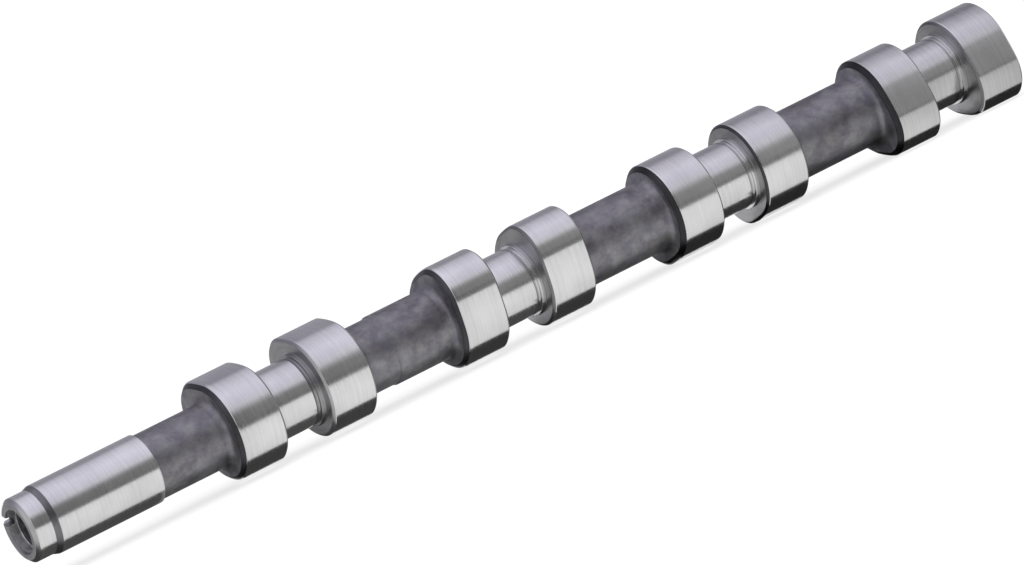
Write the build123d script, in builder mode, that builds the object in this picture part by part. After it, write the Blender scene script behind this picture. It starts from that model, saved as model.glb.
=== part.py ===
"""Four-cylinder camshaft: one chilled iron casting, turned and ground.

The shaft lies along X with its nose end towards -X, and the origin is the middle of
its front journal. Each cylinder has two identical lobes with a bearing journal
between them. All sizes are in millimetres.
"""

import math
import os

from build123d import *

# cylinders and their firing order
cylinder_pitch = 88.0
firing_order = (1, 3, 4, 2)
first_nose_angle = 45.0  # from +Y towards +Z, so that the shaft lies on its last two pairs' noses

# bearings, ground between two reliefs and a thrust collar
journal_diameter = 24.0
relief_width = 1.4
relief_depth = 0.4
collar_diameter = 25.4
collar_length = 1.5
bearing_length = 17.6

# cam form: base circle, lift and the arcs of the cam's nose and flanks
base_circle_diameter = 34.2
lift = 3.7
cam_nose_radius = 12.5
cam_flank_radius = 60.0
lobe_width = 17.5
outer_lobe_chamfer = 1.7
inner_lobe_chamfer = 0.9
back_lobe_chamfer = 0.7

# front end: spigot for the drive gear, shoulder and long front journal
spigot_diameter = 22.4
spigot_length = 7.4
spigot_chamfer = 1.3
shoulder_length = 2.2
front_journal_length = 38.7

# as-cast shaft between the machined places, and the seat for a steady behind the first pair
front_neck_diameter = 22.6
front_neck_length = 27.1
neck_diameter = 24.5
lobe_land = 0.65  # flat left on a lobe's front face between its chamfer and the casting radius
lobe_foot = 1.2
step_foot = 0.4
steady_seat_diameter = 23.6
steady_seat_length = 13.0

# gear bolt hole, its counterbore and the timing slot across the spigot's rim
bolt_core_diameter = 8.5
bolt_hole_depth = 32.0
bolt_countersink = 0.9
counterbore_diameter = 15.0
counterbore_depth = 3.8
counterbore_chamfer = 0.5
drill_point_angle = 118.0
slot_width = 3.2
slot_depth = 3.0
slot_angle = 30.0  # from +Y towards +Z

# lathe centre in the rear end
centre_pilot_diameter = 3.15
centre_pilot_depth = 4.2
centre_mouth_diameter = 6.7
centre_angle = 60.0

# radii and stations along the shaft that follow from these
cylinders = range(1, len(firing_order) + 1)
journal_radius = journal_diameter / 2
base_radius = base_circle_diameter / 2
lobe_fillet = base_radius - outer_lobe_chamfer - lobe_land - max(neck_diameter, front_neck_diameter) / 2
spigot_radius = spigot_diameter / 2
front_journal_end = front_journal_length / 2
shoulder_start = -front_journal_length / 2 - shoulder_length
nose_end = shoulder_start - spigot_length


def lobe_start(cylinder, which):
    """Front face of a lobe; which is 0 for the front one of its pair and 1 for the rear one."""
    pair_start = front_journal_end + front_neck_length + (cylinder - 1) * cylinder_pitch
    return pair_start + which * (lobe_width + bearing_length)


def nose_angle(cylinder):
    """Direction of a pair's noses: one share of a turn back for each later firing."""
    return first_nose_angle - 360 / len(firing_order) * firing_order.index(cylinder)


rear_end = lobe_start(len(firing_order), 1) + lobe_width


def neck_in_front(cylinder):
    """Diameter of the as-cast shaft that meets a pair's front lobe."""
    return front_neck_diameter if cylinder == 1 else neck_diameter


def neck_behind(cylinder):
    """Diameter of the shaft that meets a pair's rear lobe."""
    return steady_seat_diameter if cylinder == 1 else neck_diameter


def relief(start):
    """Grinding relief: a shallow groove with sloping sides."""
    floor_radius = journal_radius - relief_depth
    return [
        (start, journal_radius),
        (start + relief_depth, floor_radius),
        (start + relief_width - relief_depth, floor_radius),
        (start + relief_width, journal_radius),
    ]


def bearing(cylinder):
    """Journal between two lobes: relief, ground journal, relief and thrust collar."""
    front = lobe_start(cylinder, 0) + lobe_width
    back = lobe_start(cylinder, 1)
    collar = back - collar_length
    collar_rim = [(collar, collar_diameter / 2), (back, collar_diameter / 2)]
    return relief(front) + relief(collar - relief_width) + collar_rim


def foot(station, radius, rise):
    """Sloping foot from a face that looks to the rear down to the shaft behind it."""
    return [(station, radius + rise), (station + rise, radius)]


def shaft_outline():
    """Half section of the shaft without its lobes, from the nose end to the rear end."""
    outline = [
        (nose_end, 0),
        (nose_end, spigot_radius - spigot_chamfer),
        (nose_end + spigot_chamfer, spigot_radius),
        (shoulder_start, spigot_radius),
        (shoulder_start + shoulder_length, journal_radius),
        (front_journal_end, journal_radius),
    ]
    outline += foot(front_journal_end, front_neck_diameter / 2, step_foot)
    for cylinder in cylinders:
        back = lobe_start(cylinder, 1) + lobe_width
        outline.append((lobe_start(cylinder, 0) + lobe_width, neck_in_front(cylinder) / 2))
        outline += bearing(cylinder)
        outline.append((lobe_start(cylinder, 1), neck_behind(cylinder) / 2))
        if back < rear_end:
            outline.append((back, neck_behind(cylinder) / 2))
            outline += foot(back, neck_behind(cylinder) / 2, lobe_foot)
        if cylinder == 1:
            seat_end = back + steady_seat_length
            step = (neck_diameter - steady_seat_diameter) / 2
            outline += [(seat_end - step, steady_seat_diameter / 2), (seat_end, neck_diameter / 2)]
    return outline + [(rear_end, neck_diameter / 2), (rear_end, 0)]


def cam_lobe(front_chamfer):
    """One lobe with its front face at x = 0 and its nose along +Y."""
    offset = base_radius + lift - cam_nose_radius
    # base circle and nose circle lie inside the flank arc and touch it
    to_base = cam_flank_radius - base_radius
    to_nose = cam_flank_radius - cam_nose_radius
    centre_x = (to_base**2 - to_nose**2 + offset**2) / (2 * offset)
    flank_centre = Vector(centre_x, -math.sqrt(to_base**2 - centre_x**2))
    nose_centre = Vector(offset, 0)
    base_end = -flank_centre.normalized() * base_radius
    nose_start = nose_centre + (nose_centre - flank_centre).normalized() * cam_nose_radius
    with BuildPart() as lobe:
        with BuildSketch(Plane.YZ):
            with BuildLine():
                RadiusArc(base_end, nose_start, cam_flank_radius)
                ThreePointArc(nose_start, (offset + cam_nose_radius, 0), (nose_start.X, -nose_start.Y))
                RadiusArc((nose_start.X, -nose_start.Y), (base_end.X, -base_end.Y), cam_flank_radius)
                ThreePointArc((base_end.X, -base_end.Y), (-base_radius, 0), base_end)
            make_face()
        extrude(amount=lobe_width)
        front_face, back_face = lobe.faces().filter_by(Axis.X).sort_by(Axis.X)
        chamfer(front_face.edges(), front_chamfer)
        chamfer(back_face.edges(), back_lobe_chamfer)
    return lobe.part


outer_lobe = cam_lobe(outer_lobe_chamfer)
inner_lobe = cam_lobe(inner_lobe_chamfer)

with BuildPart() as camshaft:
    with BuildSketch(Plane.XY):
        with BuildLine():
            Polyline(shaft_outline(), close=True)
        make_face()
    revolve(axis=Axis.X)

    for cylinder in cylinders:
        for which, lobe in enumerate((outer_lobe, inner_lobe)):
            with Locations((lobe_start(cylinder, which), 0, 0)):
                add(lobe, rotation=(nose_angle(cylinder), 0, 0))

    def rim(station, diameter):
        """The round edge of that diameter at a station along the shaft."""
        edges = camshaft.edges().filter_by(GeomType.CIRCLE).filter_by_position(Axis.X, station, station)
        return edges.filter_by(lambda edge: math.isclose(edge.radius, diameter / 2))

    # casting radii where the necks meet the front lobe of each pair
    for cylinder in cylinders:
        fillet(rim(lobe_start(cylinder, 0), neck_in_front(cylinder)), lobe_fillet)

    # counterbored hole for the gear bolt, ending in the drill's point
    slot_direction = (0, math.cos(math.radians(slot_angle)), math.sin(math.radians(slot_angle)))
    nose_plane = Plane(origin=(nose_end, 0, 0), x_dir=slot_direction, z_dir=(-1, 0, 0))
    with Locations(nose_plane):
        CounterBoreHole(
            bolt_core_diameter / 2, counterbore_diameter / 2, counterbore_depth, bolt_hole_depth
        )
    drill_point = bolt_core_diameter / 2 / math.tan(math.radians(drill_point_angle / 2))
    with Locations(nose_plane.offset(-bolt_hole_depth)):
        Cone(
            bottom_radius=0,
            top_radius=bolt_core_diameter / 2,
            height=drill_point,
            align=(Align.CENTER, Align.CENTER, Align.MAX),
            mode=Mode.SUBTRACT,
        )
    chamfer(rim(nose_end + counterbore_depth, bolt_core_diameter), bolt_countersink)
    chamfer(rim(nose_end, counterbore_diameter), counterbore_chamfer)

    # timing slot from the counterbore out through the spigot's rim
    with BuildSketch(nose_plane):
        Rectangle(spigot_diameter, slot_width, align=(Align.MIN, Align.CENTER))
    extrude(amount=-slot_depth, mode=Mode.SUBTRACT)

    # lathe centre: a pilot hole with a conical mouth
    mouth_widening = (centre_mouth_diameter - centre_pilot_diameter) / 2
    mouth_depth = mouth_widening / math.tan(math.radians(centre_angle / 2))
    with Locations(Plane(origin=(rear_end, 0, 0), x_dir=(0, 1, 0), z_dir=(1, 0, 0))):
        Hole(centre_pilot_diameter / 2, mouth_depth + centre_pilot_depth)
        Cone(
            bottom_radius=centre_pilot_diameter / 2,
            top_radius=centre_mouth_diameter / 2,
            height=mouth_depth,
            align=(Align.CENTER, Align.CENTER, Align.MAX),
            mode=Mode.SUBTRACT,
        )

camshaft.part.label = "camshaft"
os.makedirs("parts", exist_ok=True)
export_step(camshaft.part, "parts/camshaft.step")
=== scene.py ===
import math

import bmesh
import bpy
import numpy as np
from mathutils import Matrix


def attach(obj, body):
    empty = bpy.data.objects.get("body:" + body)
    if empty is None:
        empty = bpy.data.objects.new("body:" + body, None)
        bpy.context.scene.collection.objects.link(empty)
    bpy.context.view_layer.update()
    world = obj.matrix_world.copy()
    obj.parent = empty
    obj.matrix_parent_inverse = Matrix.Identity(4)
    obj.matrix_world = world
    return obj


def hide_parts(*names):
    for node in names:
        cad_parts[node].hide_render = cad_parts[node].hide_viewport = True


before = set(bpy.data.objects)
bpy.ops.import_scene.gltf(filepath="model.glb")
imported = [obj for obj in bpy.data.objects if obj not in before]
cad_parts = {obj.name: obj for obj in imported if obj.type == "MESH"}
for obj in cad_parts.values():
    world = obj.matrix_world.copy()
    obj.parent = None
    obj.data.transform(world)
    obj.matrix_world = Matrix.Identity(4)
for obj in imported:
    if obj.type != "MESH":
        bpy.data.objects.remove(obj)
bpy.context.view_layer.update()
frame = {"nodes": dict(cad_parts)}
print("frame loaded:", ", ".join(frame["nodes"]))


# small helpers for materials

def newMaterial(name, shaderType="ShaderNodeBsdfPrincipled"):
    material = bpy.data.materials.new(name)
    material.use_nodes = True
    tree = material.node_tree
    tree.nodes.clear()
    output = tree.nodes.new("ShaderNodeOutputMaterial")
    shader = tree.nodes.new(shaderType)
    tree.links.new(shader.outputs[0], output.inputs["Surface"])
    return material, tree, shader


def addNode(tree, nodeType, values):
    # a node with these fixed values on its sockets
    node = tree.nodes.new(nodeType)
    for socket, value in values.items():
        node.inputs[socket].default_value = value
    return node


def objectPoint(tree, scale=(1, 1, 1)):
    # the point on the piece in metres, times a scale for each axis
    coordinates = tree.nodes.new("ShaderNodeTexCoord")
    mapping = addNode(tree, "ShaderNodeMapping", {"Scale": scale})
    tree.links.new(coordinates.outputs["Object"], mapping.inputs["Vector"])
    return mapping.outputs["Vector"]


def noise(tree, point, scale, detail, roughness=0.5):
    values = {"Scale": scale, "Detail": detail, "Roughness": roughness}
    node = addNode(tree, "ShaderNodeTexNoise", values)
    tree.links.new(point, node.inputs["Vector"])
    return node.outputs["Fac"]


def toolMarks(tree, scale, detail, roughness=0.6):
    # rings round the shaft, from the distance along its half section that the surface carries
    along = tree.nodes.new("ShaderNodeAttribute")
    along.attribute_name = "alongSection"
    values = {"Scale": scale, "Detail": detail, "Roughness": roughness}
    ring = addNode(tree, "ShaderNodeTexNoise", values)
    ring.noise_dimensions = "1D"
    tree.links.new(along.outputs["Fac"], ring.inputs["W"])
    return ring.outputs["Fac"]


def spread(tree, value, low, high, fromLow=0.3, fromHigh=0.7):
    # a value stretched to the range from low to high
    values = {"From Min": fromLow, "From Max": fromHigh, "To Min": low, "To Max": high}
    node = addNode(tree, "ShaderNodeMapRange", values)
    tree.links.new(value, node.inputs["Value"])
    return node.outputs["Result"]


def twoColours(tree, value, first, second, edges=(0.35, 0.65)):
    ramp = tree.nodes.new("ShaderNodeValToRGB")
    for element, edge, colour in zip(ramp.color_ramp.elements, edges, (first, second)):
        element.position = edge
        element.color = (*colour, 1)
    tree.links.new(value, ramp.inputs["Fac"])
    return ramp.outputs["Color"]


def darkened(tree, base, tint, share):
    # the base colour times the tint, to that share
    node = tree.nodes.new("ShaderNodeMix")
    node.data_type = "RGBA"
    node.blend_type = "MULTIPLY"
    node.inputs["Factor"].default_value = share
    tree.links.new(base, node.inputs["A"])
    tree.links.new(tint, node.inputs["B"])
    return node.outputs["Result"]


def relief(tree, shader, height, strength, distance, below=None):
    bump = addNode(tree, "ShaderNodeBump", {"Strength": strength, "Distance": distance})
    tree.links.new(height, bump.inputs["Height"])
    if below is not None:
        tree.links.new(below, bump.inputs["Normal"])
    tree.links.new(bump.outputs["Normal"], shader.inputs["Normal"])
    return bump.outputs["Normal"]


machinedLook = {  # shared by the machined finishes, apart from what each look below sets itself
    "cloudScale": 70.0,
    "cloudDetail": 4.0,
    "stain": (0.80, 0.80, 0.82),
    "stainEdges": (0.3, 0.6),
    "stainShare": 0.6,
    "streakScale": 1400.0,
    "streakStretch": (1.0, 0.12, 0.12),
    "streakDetail": 2.0,
    "wideScale": 1100.0,
    "wideDetail": 2.0,
    "wideStrength": 0.12,
    "fineScale": 3400.0,
    "fineDetail": 3.0,
    "fineStrength": 0.2,
    "markDepth": 0.00006,
}

machinedLooks = {
    "groundIron": {  # journals, lobes, spigot, and the collars of the last three pairs
        "dark": (0.585, 0.585, 0.585),
        "light": (0.665, 0.665, 0.66),
        "stain": (0.90, 0.90, 0.90),
        "smooth": 0.16,
        "rough": 0.25,
        "wideScale": 900.0,
        "fineScale": 5200.0,
        "markDepth": 0.00002,
    },
    "turnedIron": {  # reliefs, faces beside the journals, other chamfers, and the rear centre
        "dark": (0.34, 0.34, 0.345),
        "light": (0.44, 0.44, 0.44),
        "smooth": 0.30,
        "rough": 0.42,
    },
    "boredIronPaintedLight": {  # painted light: the wall of the counterbore is rougher and much lighter than the other iron, in blotches, so that the recess looks lit
        "dark": (0.42, 0.42, 0.42),
        "light": (0.86, 0.86, 0.85),
        "stain": (0.80, 0.80, 0.80),
        "cloudScale": 260.0,
        "smooth": 0.52,
        "rough": 0.68,
    },
    "dullIronAndShade": {  # a dull finish for the nose face and the mouth of the counterbore; on the shoulder and the front rims of lobes 4 and 8 it also darkens them as painted shade
        "dark": (0.15, 0.15, 0.155),
        "light": (0.235, 0.235, 0.24),
        "smooth": 0.34,
        "rough": 0.48,
        "wideScale": 1300.0,
    },
    "darkIronPaintedShade": {  # painted shade: dark iron for the floor of the counterbore, and for the front rims of lobes 1, 3 and 6, where it deepens a darker edge
        "dark": (0.048, 0.047, 0.051),
        "light": (0.080, 0.079, 0.085),
        "smooth": 0.30,
        "rough": 0.45,
        "markDepth": 0.00005,
    },
    "blackIronPaintedShade": {  # painted shade: very dark iron for the bolt hole, the floor of the timing slot, and the front rims of lobes 5 and 7, where it deepens a darker edge
        "dark": (0.030, 0.030, 0.032),
        "light": (0.055, 0.055, 0.058),
        "smooth": 0.30,
        "rough": 0.45,
        "markDepth": 0.00005,
    },
}


def machinedFinish(name, look):
    # clouded colour, rings left by the wheel or tool, and short streaks that run round the shaft
    material, tree, shader = newMaterial(name)
    shader.inputs["Metallic"].default_value = 1.0
    cloud = noise(tree, objectPoint(tree), look["cloudScale"], look["cloudDetail"])
    base = twoColours(tree, cloud, look["dark"], look["light"])
    rings = toolMarks(tree, look["wideScale"], look["wideDetail"])
    stain = twoColours(tree, rings, look["stain"], (1, 1, 1), look["stainEdges"])
    colour = darkened(tree, base, stain, look["stainShare"])
    tree.links.new(colour, shader.inputs["Base Color"])
    stretched = objectPoint(tree, look["streakStretch"])
    streak = noise(tree, stretched, look["streakScale"], look["streakDetail"])
    roughness = spread(tree, streak, look["smooth"], look["rough"])
    tree.links.new(roughness, shader.inputs["Roughness"])
    below = relief(tree, shader, rings, look["wideStrength"], look["markDepth"])
    fine = toolMarks(tree, look["fineScale"], look["fineDetail"])
    relief(tree, shader, fine, look["fineStrength"], look["markDepth"], below)
    return material


castLook = {  # skin of the casting
    "metallic": 0.9,
    "dark": (0.180, 0.174, 0.200),
    "light": (0.285, 0.282, 0.287),
    "smooth": 0.38,
    "rough": 0.56,
    "patch": (190.0, 4.0, 0.6),  # scale, detail and roughness of each noise
    "patchStrength": 0.5,
    "patchDepth": 0.00025,
    "grain": (1700.0, 3.0, 0.6),
    "grainStrength": 0.6,
    "grainDepth": 0.00012,
    "spots": (85.5, 5.0, 0.65),
    "spotStretch": (0.7, 1, 1),
    "spotTint": (0.62, 0.60, 0.60),
    "spotEdges": (0.40, 0.52),
    "spotShare": 0.7,
}


def castFinish(name, look):
    # clouds of two greys, darker spots of scale, and the sand's grain in two sizes
    material, tree, shader = newMaterial(name)
    shader.inputs["Metallic"].default_value = look["metallic"]
    patch = noise(tree, objectPoint(tree), *look["patch"])
    grain = noise(tree, objectPoint(tree), *look["grain"])
    spots = noise(tree, objectPoint(tree, look["spotStretch"]), *look["spots"])
    base = twoColours(tree, patch, look["dark"], look["light"])
    tint = twoColours(tree, spots, look["spotTint"], (1, 1, 1), look["spotEdges"])
    colour = darkened(tree, base, tint, look["spotShare"])
    tree.links.new(colour, shader.inputs["Base Color"])
    roughness = spread(tree, grain, look["smooth"], look["rough"])
    tree.links.new(roughness, shader.inputs["Roughness"])
    below = relief(tree, shader, patch, look["patchStrength"], look["patchDepth"])
    relief(tree, shader, grain, look["grainStrength"], look["grainDepth"], below)
    return material


finishes = [machinedFinish(name, machinedLook | look) for name, look in machinedLooks.items()]
finishes.append(castFinish("castIron", castLook))
ground, turned, boredAndLit, dullAndShade, dark, blackShade, cast = range(len(finishes))
print("finishes made:", ", ".join(material.name for material in finishes))

# the camshaft is one closed surface; millimetres, and degrees from +Y towards +Z
shaft = {
    "pitch": 88.0,
    "noseAngles": (45.0, 135.0, -45.0, -135.0),  # one for each pair of lobes
    "baseRadius": 17.1,
    "lift": 3.7,
    "noseRadius": 12.5,
    "flankRadius": 60.0,
    "lobeWidth": 17.5,
    "rimFinishesAndShade": (dark, turned, dark, dullAndShade, blackShade, dark, blackShade, dullAndShade),  # one for each lobe; painted shade: each rim is as dark as the shade and dark reflections it shows, over a darker edge
    "rimRounding": (0.6, 0.2, 0.6, 0.2, 0.3, 0.2, 0.1, 0.2),
    "outerChamfer": 1.7,
    "innerChamfer": 0.9,
    "backChamfer": 0.7,
    "journalRadius": 12.0,
    "reliefWidth": 1.4,
    "reliefDepth": 0.4,
    "collarRadius": 12.7,
    "collarLength": 1.5,
    "bearingLength": 17.6,
    "frontJournal": 38.7,
    "shoulder": 2.2,
    "spigotRadius": 11.2,
    "spigotLength": 7.4,
    "spigotChamfer": 1.3,
    "frontNeckRadius": 11.3,
    "frontNeck": 27.1,
    "neckRadius": 12.25,
    "seatRadius": 11.8,
    "seatLength": 13.0,
    "frontFillet": 2.5,
    "backFillet": 1.2,
    "stepFillet": 0.3,
    "boltCoreRadius": 4.25,
    "boltDepth": 32.0,
    "drillAngle": 118.0,
    "countersink": 0.9,
    "threadPitch": 1.5,
    "threadDepth": 0.75,
    "threadEnd": 25.0,
    "rowsPerTurn": 6,
    "counterboreRadius": 7.5,
    "counterboreDepth": 3.8,
    "mouthChamfer": 0.5,
    "slotWidth": 3.2,
    "slotDepth": 3.0,
    "slotAngle": 30.0,
    "slotFrom": 7.2,  # radius where the slot starts, inside the counterbore's rounded floor edge
    "slotWall": 0.06,
    "centreRadius": 1.575,
    "centreMouth": 3.35,
    "centreDepth": 4.2,
    "centreAngle": 60.0,
    "centreTip": 0.9,
    "columns": 216,
    "slotColumns": 8,
    "cornerSteps": 3,
    "tolerance": 0.001,
    "mergeDistance": 0.002,
    "sharpAngle": 50.0,
}
crisp, sharp, eased, soft, wide = 0.05, 0.1, 0.15, 0.2, 0.25  # how far a corner's curve reaches

pairs = len(shaft["noseAngles"])
noseEnd = -shaft["frontJournal"] / 2 - shaft["shoulder"] - shaft["spigotLength"]


def lobeStart(number):
    # front face of a lobe, counted from 1
    pair, which = divmod(number - 1, 2)
    first = shaft["frontJournal"] / 2 + shaft["frontNeck"] + pair * shaft["pitch"]
    return first + which * (shaft["lobeWidth"] + shaft["bearingLength"])


rearEnd = lobeStart(2 * pairs) + shaft["lobeWidth"]


def camSupport(angle):
    # Cam outline as the distance from the axis to the outline's tangent whose normal turns by
    # that angle from the cam's nose: the nose circle's offset times the cosine, plus its radius;
    # on the flank the flank circle's centre times that normal, plus its radius; then the base
    # radius. Returned with its slope, which is the shift along the tangent.
    offset = shaft["baseRadius"] + shaft["lift"] - shaft["noseRadius"]
    toBase = shaft["flankRadius"] - shaft["baseRadius"]
    toNose = shaft["flankRadius"] - shaft["noseRadius"]
    centreX = (toBase**2 - toNose**2 + offset**2) / (2 * offset)
    centreY = -math.sqrt(toBase**2 - centreX**2)
    noseEdge = math.atan2(-centreY, offset - centreX)
    baseEdge = math.atan2(-centreY, -centreX)
    turn = (angle + math.pi) % (2 * math.pi) - math.pi
    size, side = np.abs(turn), np.sign(turn)
    where = [size <= noseEdge, size < baseEdge]
    onNose = offset * np.cos(turn) + shaft["noseRadius"]
    onFlank = centreX * np.cos(size) + centreY * np.sin(size) + shaft["flankRadius"]
    noseSlope = -offset * np.sin(turn)
    flankSlope = side * (centreY * np.cos(size) - centreX * np.sin(size))
    reach = np.select(where, [onNose, onFlank], shaft["baseRadius"])
    return reach, np.select(where, [noseSlope, flankSlope], 0.0)


def bearingPath(front, back, collarFinish):
    # relief, journal, relief and thrust collar between a pair's two lobes
    s = shaft
    radius, width = s["journalRadius"], s["reliefWidth"]
    low = radius - s["reliefDepth"]
    collar = back - s["collarLength"]
    return [
        (front, low, wide, 0, turned),
        (front + width - s["reliefDepth"], low, eased, 0, turned),
        (front + width, radius, sharp, 0, ground),
        (collar - width, radius, sharp, 0, turned),
        (collar - width + s["reliefDepth"], low, eased, 0, collarFinish),
        (collar, low, soft, 0, collarFinish),
        (collar, s["collarRadius"], eased, 0, collarFinish),
        (back, s["collarRadius"], soft, 0, turned),
    ]


def shaftPath():
    # Half section as rows of (distance along the shaft, radius or inset from the cam outline,
    # reach of the corner's curve, lobe number or 0, finish of the run that follows), from the
    # bolt hole's tip to the tip of the rear centre.
    s = shaft
    bore, counter = s["boltCoreRadius"], s["counterboreRadius"]
    floor = noseEnd + s["counterboreDepth"]
    threadStart, threadEnd = floor + s["countersink"], noseEnd + s["threadEnd"]
    tip = noseEnd + s["boltDepth"] + bore / math.tan(math.radians(s["drillAngle"] / 2))
    # painted shade: the bolt hole, its thread and its countersink are very dark, as shade falls
    # deep in the hole
    path = [(tip, 0, 0, 0, blackShade), (noseEnd + s["boltDepth"], bore, 0, 0, blackShade)]
    threadRows = int((threadEnd - threadStart) / s["threadPitch"] * s["rowsPerTurn"])
    path += [(x, bore, 0, 0, blackShade) for x in np.linspace(threadEnd, threadStart, threadRows)]
    path += [
        # painted shade: the floor of the counterbore, which follows this row, is dark
        (floor, bore + s["countersink"], crisp, 0, dark),
        # painted light: the counterbore's wall, which follows this row, is lighter
        (floor, counter, wide, 0, boredAndLit),
        (noseEnd + s["mouthChamfer"], counter, sharp, 0, dullAndShade),
        (noseEnd, counter + s["mouthChamfer"], sharp, 0, dullAndShade),
        (noseEnd, s["spigotRadius"] - s["spigotChamfer"], eased, 0, turned),
        (noseEnd + s["spigotChamfer"], s["spigotRadius"], eased, 0, ground),
        # the shoulder's dull finish also stands in for painted shade
        (noseEnd + s["spigotLength"], s["spigotRadius"], soft, 0, dullAndShade),
        (-s["frontJournal"] / 2, s["journalRadius"], soft, 0, ground),
        (s["frontJournal"] / 2, s["journalRadius"], eased, 0, turned),
        (s["frontJournal"] / 2, s["frontNeckRadius"], s["stepFillet"], 0, cast),
    ]
    for number in range(1, 2 * pairs + 1):
        start = lobeStart(number)
        end = start + s["lobeWidth"]
        first = number % 2 == 1  # of its pair
        chamfer = s["outerChamfer"] if first else s["innerChamfer"]
        if first:
            neck = s["frontNeckRadius"] if number == 1 else s["neckRadius"]
            path.append((start, neck, s["frontFillet"], 0, cast))
        path += [
            # the rim's finish darkens it as painted shade, lobe by lobe
            (start, -chamfer, eased, number, s["rimFinishesAndShade"][number - 1]),
            (start + chamfer, 0, s["rimRounding"][number - 1], number, ground),
            (end - s["backChamfer"], 0, eased, number, turned),
            (end, -s["backChamfer"], sharp, number, turned if first else cast),
        ]
        if first:
            path += bearingPath(end, lobeStart(number + 1), turned if number == 1 else ground)
        elif number == 2:  # the seat for a steady
            seatEnd = end + s["seatLength"]
            step = s["neckRadius"] - s["seatRadius"]
            path += [
                (end, s["seatRadius"], s["backFillet"], 0, cast),
                (seatEnd - step, s["seatRadius"], soft, 0, cast),
                (seatEnd, s["neckRadius"], soft, 0, cast),
            ]
        elif number < 2 * pairs:
            path.append((end, s["neckRadius"], s["backFillet"], 0, cast))
    widening = s["centreMouth"] - s["centreRadius"]
    mouth = rearEnd - widening / math.tan(math.radians(s["centreAngle"] / 2))
    path += [
        (rearEnd, s["centreMouth"], sharp, 0, turned),
        (mouth, s["centreRadius"], 0, 0, turned),
        (mouth - s["centreDepth"], s["centreRadius"], 0, 0, turned),
        (mouth - s["centreDepth"] - s["centreTip"], 0, 0, 0, turned),
    ]
    return np.array(path, float)


def roundCorners(path, steps):
    # Every corner becomes a curve that leaves the run before it one reach short of the corner
    # and joins the run after it one reach past it: (1-t)^2 times the first point, plus 2t(1-t)
    # times the corner, plus t^2 times the last. It has the finish of the run after it.
    points, cut, lobe, finish = path[:, :2], path[:, 2:3], path[:, 3], path[:, 4]
    run = np.diff(points + np.outer(lobe > 0, [0, shaft["baseRadius"]]), axis=0)
    run /= np.linalg.norm(run, axis=1)[:, None]
    first = points - np.vstack([run[:1], run]) * cut
    last = points + np.vstack([run, run[-1:]]) * cut
    t = np.linspace(0, 1, steps + 1)[None, :, None]
    rows = (1 - t) ** 2 * first[:, None] + 2 * t * (1 - t) * points[:, None] + t**2 * last[:, None]
    finish, lobe = (np.repeat(each[:, None], steps + 1, 1) for each in (finish, lobe))
    keep = (cut > 0) | (np.arange(steps + 1)[None] == steps)
    return rows[keep], finish[keep].astype(int), lobe[keep].astype(int)


def columnAngles(rows, nearNose):
    # Angle of each column in each row. Most columns are spread evenly round the shaft; those at
    # the timing slot keep their distance from its middle: the arc sine of that distance over
    # the radius.
    half = shaft["slotWidth"] / 2
    inside = half - shaft["slotWall"]
    across = np.concatenate([[-half], np.linspace(-inside, inside, shaft["slotColumns"]), [half]])
    radius = np.where(nearNose, rows[:, 1], shaft["spigotRadius"])
    slot = np.arcsin(across[None] / radius[:, None])
    share = np.linspace(0, 1, shaft["columns"] - len(across) + 2)[1:-1]
    rest = slot[:, -1:] + share[None] * (2 * math.pi + slot[:, :1] - slot[:, -1:])
    inSlot = np.zeros(shaft["columns"], bool)
    inSlot[1:len(across) - 1] = True
    return math.radians(shaft["slotAngle"]) + np.hstack([slot, rest]), inSlot


def camshaftPoints():
    # Each row is a closed outline round the shaft. Its points stand at reach times the unit
    # normal plus slope times the unit tangent, where reach is the row's radius, or the cam's
    # reach less the inset.
    rows, finish, lobe = roundCorners(shaftPath(), shaft["cornerSteps"])
    ahead = rows[:, 0] < noseEnd + shaft["spigotLength"]
    nearNose = ahead & (rows[:, 1] > shaft["slotFrom"]) & (lobe == 0)
    angle, inSlot = columnAngles(rows, nearNose)
    x = np.repeat(rows[:, :1], angle.shape[1], 1)
    noses = np.radians(shaft["noseAngles"])[np.clip((lobe - 1) // 2, 0, pairs - 1)]
    camReach, camSlope = camSupport(angle - noses[:, None])
    isLobe = (lobe > 0)[:, None]
    reach = rows[:, 1:2] + np.where(isLobe, camReach, 0)
    slope = np.where(isLobe, camSlope, 0)

    # the bolt's thread: a wave along the hole that turns once round for each pitch
    depth = x - noseEnd
    onBore = np.abs(reach - shaft["boltCoreRadius"]) < shaft["tolerance"]
    inThread = onBore & (depth < shaft["threadEnd"] + shaft["tolerance"])
    wave = 0.5 + 0.5 * np.cos(2 * math.pi * depth / shaft["threadPitch"] + angle)
    fade = np.clip((shaft["threadEnd"] - depth) / shaft["threadPitch"], 0, 1)
    reach = reach + np.where(inThread, shaft["threadDepth"] * wave * fade, 0)

    # no point of the timing slot's columns stands further forward than its floor, which is painted
    # very dark as painted shade
    slotted = inSlot[None] & nearNose[:, None]
    slotFloor = noseEnd + shaft["slotDepth"]
    x = np.where(slotted, np.maximum(x, slotFloor), x)
    onFloor = slotted & (x < slotFloor + shaft["tolerance"])
    skin = np.repeat(finish[:, None], angle.shape[1], 1)
    skin[:-1][onFloor[:-1] & onFloor[1:]] = blackShade

    out = np.stack([np.zeros_like(angle), np.cos(angle), np.sin(angle)], -1)
    along = np.stack([np.zeros_like(angle), -np.sin(angle), np.cos(angle)], -1)
    points = reach[..., None] * out + slope[..., None] * along
    points[..., 0] = x
    section = rows + np.outer(lobe > 0, [0, shaft["baseRadius"]])
    runs = np.linalg.norm(np.diff(section, axis=0), axis=1)
    travelled = np.concatenate([[0], np.cumsum(runs)])
    return points / 1000, travelled / 1000, skin  # in metres


def addObject(name, mesh, materials):
    for material in materials:
        mesh.materials.append(material)
    piece = bpy.data.objects.new(name, mesh)
    bpy.context.scene.collection.objects.link(piece)
    return piece


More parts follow.
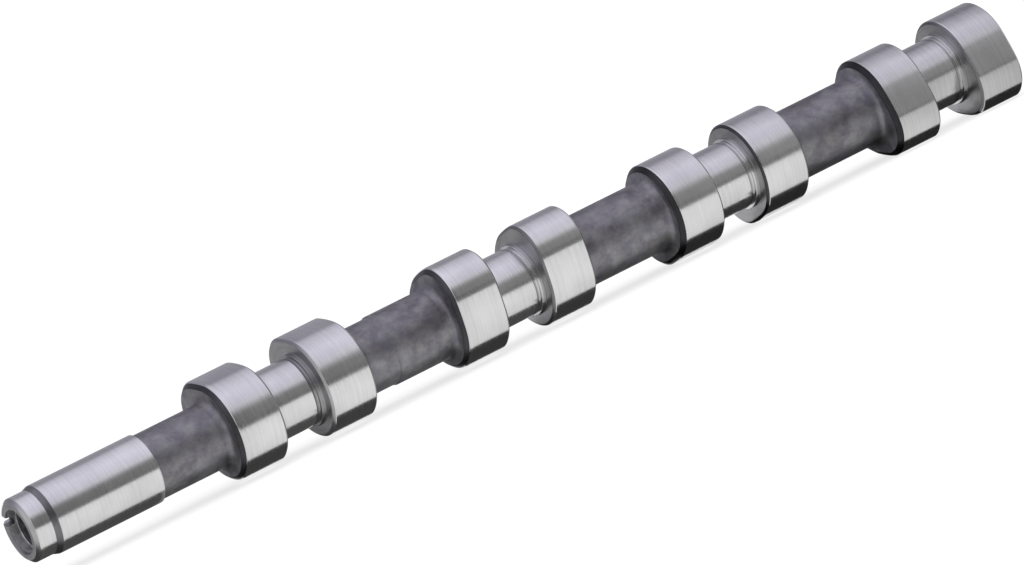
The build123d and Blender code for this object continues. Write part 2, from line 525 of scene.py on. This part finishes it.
def closedSurface(name, points, travelled, skin):
    # Rows of points joined by quads that face outwards, with one point at each end of the path.
    # A quad has the finish of its first point.
    count, columns = points.shape[0] - 2, points.shape[1]
    verts = np.vstack([points[:1, 0], points[1:-1].reshape(-1, 3), points[-1:, 0]])
    here = 1 + np.arange(count * columns).reshape(count, columns)
    beside = np.roll(here, -1, 1)
    quads = np.stack([here[:-1], beside[:-1], beside[1:], here[1:]], -1).reshape(-1, 4)
    first = np.stack([beside[0], here[0], np.zeros(columns, int)], -1)
    last = np.stack([here[-1], beside[-1], np.full(columns, len(verts) - 1)], -1)
    mesh = bpy.data.meshes.new(name)
    mesh.from_pydata(verts, [], first.tolist() + quads.tolist() + last.tolist())
    mesh.polygons.foreach_set("material_index", skin[:-1].ravel())
    mesh.polygons.foreach_set("use_smooth", np.ones(len(mesh.polygons), bool))
    distance = mesh.attributes.new("alongSection", "FLOAT", "POINT")
    inner = np.repeat(travelled[1:-1], columns)
    values = np.concatenate([travelled[:1], inner, travelled[-1:]])
    distance.data.foreach_set("value", values.astype(np.float32))

    # the slot's floor folds rows onto each other, so points that meet become one
    work = bmesh.new()
    work.from_mesh(mesh)
    bmesh.ops.remove_doubles(work, verts=work.verts, dist=shaft["mergeDistance"] / 1000)
    work.to_mesh(mesh)
    work.free()
    mesh.update()
    return mesh


camshaftMesh = closedSurface("camshaftSurface", *camshaftPoints())
camshaftMesh.set_sharp_from_angle(angle=math.radians(shaft["sharpAngle"]))
camshaft = addObject("camshaftCasting", camshaftMesh, finishes)
evenShading = camshaft.modifiers.new("evenShading", "WEIGHTED_NORMAL")
evenShading.keep_sharp = True
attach(camshaft, "root")
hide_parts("camshaft")
camshaftMesh.calc_loop_triangles()
print("camshaft surface:", len(camshaftMesh.loop_triangles), "triangles")


# the studio, in metres

studio = {
    "floorLevel": -0.01837,
    "floorReach": 30.0,
    "floorColour": (0.40, 0.40, 0.40),
    "nearGlow": 0.725,
    "nearDistance": 0.3,
    "farGlow": 1.0,
    "farDistance": 1.6,
    "roomColour": (0.26, 0.255, 0.27),
    "boxColour": (0.98, 0.97, 1.0),
    "boxPower": 25.0,
    "boxSize": (3.4, 2.1),
    "boxCentre": (0.75, -0.62, 1.0),
}


def combined(tree, operation, first, second):
    node = tree.nodes.new("ShaderNodeMath")
    node.operation = operation
    tree.links.new(first, node.inputs[0])
    tree.links.new(second, node.inputs[1])
    return node.outputs["Value"]


def seenDirectly(tree):
    # 1 for a ray from the camera and for one off shiny or clear things, else 0
    rays = tree.nodes.new("ShaderNodeLightPath").outputs
    mirrored = combined(tree, "MAXIMUM", rays["Is Glossy Ray"], rays["Is Transmission Ray"])
    return combined(tree, "MAXIMUM", rays["Is Camera Ray"], mirrored)


def makeFloor(look):
    # its glow grows with the distance from the shaft, so that it is as white far off as near by
    material, tree, shader = newMaterial("paleFloor")
    shader.inputs["Base Color"].default_value = (*look["floorColour"], 1)
    shader.inputs["Roughness"].default_value = 1.0
    shader.inputs["Specular IOR Level"].default_value = 0.0
    shader.inputs["Emission Color"].default_value = (1, 1, 1, 1)
    length = tree.nodes.new("ShaderNodeVectorMath")
    length.operation = "LENGTH"
    tree.links.new(objectPoint(tree), length.inputs[0])
    glows = look["nearGlow"], look["farGlow"]
    distances = look["nearDistance"], look["farDistance"]
    level = spread(tree, length.outputs["Value"], *glows, *distances)
    glow = combined(tree, "MULTIPLY", seenDirectly(tree), level)
    tree.links.new(glow, shader.inputs["Emission Strength"])
    r, z = look["floorReach"], look["floorLevel"]
    mesh = bpy.data.meshes.new("floor")
    mesh.from_pydata([(-r, -r, z), (r, -r, z), (r, r, z), (-r, r, z)], [], [(0, 1, 2, 3)])
    addObject("floor", mesh, [material])


makeFloor(studio)


def glowSheet(name, points, colours):
    # a sheet that only reflections see: rows and columns of points, each with its glow's colour
    material, tree, glow = newMaterial(name + "Glow", "ShaderNodeEmission")
    brightness = tree.nodes.new("ShaderNodeAttribute")
    brightness.attribute_name = "brightness"
    tree.links.new(brightness.outputs["Color"], glow.inputs["Color"])
    rows, columns = points.shape[:2]
    here = np.arange(rows * columns).reshape(rows, columns)
    corners = [here[:-1, :-1], here[:-1, 1:], here[1:, 1:], here[1:, :-1]]
    mesh = bpy.data.meshes.new(name)
    mesh.from_pydata(points.reshape(-1, 3), [], np.stack(corners, -1).reshape(-1, 4).tolist())
    attribute = mesh.attributes.new("brightness", "FLOAT_COLOR", "POINT")
    rgba = np.ones((rows, columns, 4), np.float32)
    rgba[..., :3] = colours
    attribute.data.foreach_set("color", rgba.ravel())
    sheet = addObject(name, mesh, [material])
    sheet.visible_camera = sheet.visible_diffuse = False
    sheet.visible_shadow = sheet.visible_transmission = False


# half round tent of light, from the horizon in front, over the top, to the back; it fades
# towards the rear
tent = {
    "radius": 3.0,
    "stations": (-4.0, 1.16, 1.72, 2.0, 4.0),
    "angles": (0, 21, 26, 36, 56, 76, 96, 114, 128, 150, 180),
    "front": (0.20, 0.20, 0.34, 0.84, 0.93, 1.02, 0.95, 0.78, 0.38, 0.38, 0.48),
    "middle": (0.36, 0.36, 0.46, 0.86, 0.95, 1.02, 0.84, 0.66, 0.35, 0.36, 0.48),
    "rear": (0.34, 0.34, 0.40, 0.66, 0.67, 0.78, 0.54, 0.41, 0.23, 0.33, 0.46),
    "tint": (1.0, 0.97, 1.12),
    "tintFrom": (20.0, 50.0),
    "columns": 91,
}


def makeTent(look):
    # each point stands at radius times (-cos, sin) of its angle over the shaft, at each station
    angle = np.linspace(0, 180, look["columns"])
    turn = np.radians(angle)
    y = -look["radius"] * np.cos(turn)
    z = look["radius"] * np.sin(turn) + studio["floorLevel"]
    x = np.array(look["stations"])[:, None]
    points = np.stack(np.broadcast_arrays(x, y, z), -1)
    along = ("front", "front", "middle", "rear", "rear")
    level = np.stack([np.interp(angle, look["angles"], look[part]) for part in along])
    share = np.interp(angle, look["tintFrom"], (0, 1))
    tint = 1 + share[:, None] * (np.array(look["tint"]) - 1)
    glowSheet("tent", points, level[..., None] * tint)


makeTent(tent)

# Cards on the floor, which give the bright iron its bands. Each has a near and a far edge,
# written as y and the stations along x, and a grey for each station. The back card's lanes
# slant, as the front faces of the lobes mirror them.
rearStations, behindStations = (0.300, 0.335, 0.380, 0.500), (0.0475, 0.0846)
cards = {
    "frontCard": {
        "lift": 0.0004,
        "near": (-0.095, (-4.0, 0.03, 0.42, 4.0)),
        "far": (-6.0, (-4.0, 2.3, 3.7, 8.0)),
        "greys": (0.165, 0.165, 0.245, 0.245),
    },
    "rearCard": {
        "lift": 0.0002,
        "near": (-0.095, rearStations),
        "far": (-0.008, rearStations),
        "greys": (1.0, 0.76, 0.66, 0.66),
    },
    "behindCard": {
        "lift": 0.0002,
        "near": (0.031, behindStations),
        "far": (0.120, behindStations),
        "greys": (0.08, 0.08),
    },
    "backCard": {
        "lift": 0.0002,
        "near": (0.150, (-0.07095, 0.00905, 0.09705, 0.18505, 0.34905)),
        "far": (1.0, (-0.473, -0.393, -0.305, -0.217, -0.053)),
        "greys": (0.95, 0.45, 0.32, 0.04, 0.04),
    },
}

for name, card in cards.items():
    level = studio["floorLevel"] + card["lift"]
    edges = [[(x, y, level) for x in stations] for y, stations in (card["near"], card["far"])]
    glowSheet(name, np.array(edges), np.array(card["greys"])[:, None])

# the dark card is a row of strips, each under the part of the shaft that mirrors it
shade = {
    "lift": 0.0004,
    "end": 0.400,
    "strips": (  # start along the shaft, front edge, back edge, and the grey at each edge
        (-0.0500, -0.0093, 0.030, 0.090, 0.090),  # spigot and front journal
        (0.0220, -0.0093, 0.060, 0.310, 0.100),
        (0.0440, -0.0131, 0.060, 0.065, 0.065),  # first pair
        (0.0475, -0.0131, -0.0015, 0.065, 0.065),
        (0.0670, -0.0093, 0.030, 0.090, 0.090),
        (0.0832, -0.0131, -0.0015, 0.065, 0.065),
        (0.1021, -0.0093, 0.060, 0.340, 0.080),
        (0.1320, -0.0131, 0.060, 0.050, 0.050),  # second pair
        (0.1355, -0.0131, -0.0015, 0.050, 0.050),
        (0.1550, -0.0093, 0.030, 0.085, 0.085),
        (0.1712, -0.0131, -0.0015, 0.050, 0.050),
        (0.1901, -0.0093, 0.060, 0.220, 0.050),
        (0.2200, -0.0131, 0.060, 0.030, 0.030),  # third pair
        (0.2235, -0.0131, -0.0015, 0.030, 0.030),
        (0.2430, -0.0093, 0.008, 0.050, 0.050),
        (0.2592, -0.0131, -0.0015, 0.030, 0.030),
        (0.2781, -0.0093, 0.060, 0.120, 0.030),
        (0.3080, -0.0152, 0.060, 0.028, 0.028),  # last pair
        (0.3115, -0.0152, 0.014, 0.028, 0.028),
        (0.3310, -0.0093, 0.014, 0.040, 0.040),
        (0.3472, -0.0152, 0.014, 0.028, 0.028),
    ),
}


def makeShade(look):
    # each strip runs from its own start to the next one's
    start, front, back, frontGrey, backGrey = np.array(look["strips"]).T
    along = np.stack([start, np.append(start[1:], look["end"])], -1).ravel()
    edges = np.repeat([front, back], 2, 1)
    level = studio["floorLevel"] + look["lift"]
    points = np.stack(np.broadcast_arrays(along, edges, level), -1)
    glowSheet("shadeCard", points, np.repeat([frontGrey, backGrey], 2, 1)[..., None])


makeShade(shade)

softbox = bpy.data.lights.new("softbox", "AREA")
softbox.shape = "RECTANGLE"
softbox.size, softbox.size_y = studio["boxSize"]
softbox.energy = studio["boxPower"]
softbox.color = studio["boxColour"]
softboxObject = bpy.data.objects.new("softbox", softbox)
softboxObject.location = studio["boxCentre"]
softboxObject.visible_glossy = False  # the tent stands for it in reflections
bpy.context.scene.collection.objects.link(softboxObject)

world = bpy.data.worlds.new("studioRoom")
world.use_nodes = True
room = world.node_tree
roomColour = room.nodes.new("ShaderNodeMix")
roomColour.data_type = "RGBA"
roomColour.inputs["A"].default_value = (*studio["roomColour"], 1)
roomColour.inputs["B"].default_value = (1, 1, 1, 1)
room.links.new(seenDirectly(room), roomColour.inputs["Factor"])
room.links.new(roomColour.outputs["Result"], room.nodes["Background"].inputs["Color"])
bpy.context.scene.world = world
bpy.context.scene.view_settings.view_transform = "Standard"

viewpoint = {
    "place": (-0.93651, -2.32916, 0.23972),
    "right": (0.80921, -0.42444, -0.40622),
    "up": (0.40484, -0.09824, 0.90910),
    "back": (-0.42577, -0.90011, 0.09233),
    "sensor": 36.0,
    "lens": 277.14,
    "clip": (0.1, 100.0),
}
cameraData = bpy.data.cameras.new("camera")
cameraData.sensor_width = viewpoint["sensor"]
cameraData.lens = viewpoint["lens"]
cameraData.clip_start, cameraData.clip_end = viewpoint["clip"]
camera = bpy.data.objects.new("camera", cameraData)
turnAndPlace = np.eye(4)
turnAndPlace[:3] = np.array([viewpoint[key] for key in ("right", "up", "back", "place")]).T
camera.matrix_world = Matrix(turnAndPlace.tolist())
bpy.context.scene.collection.objects.link(camera)
bpy.context.scene.camera = camera
print("studio ready")
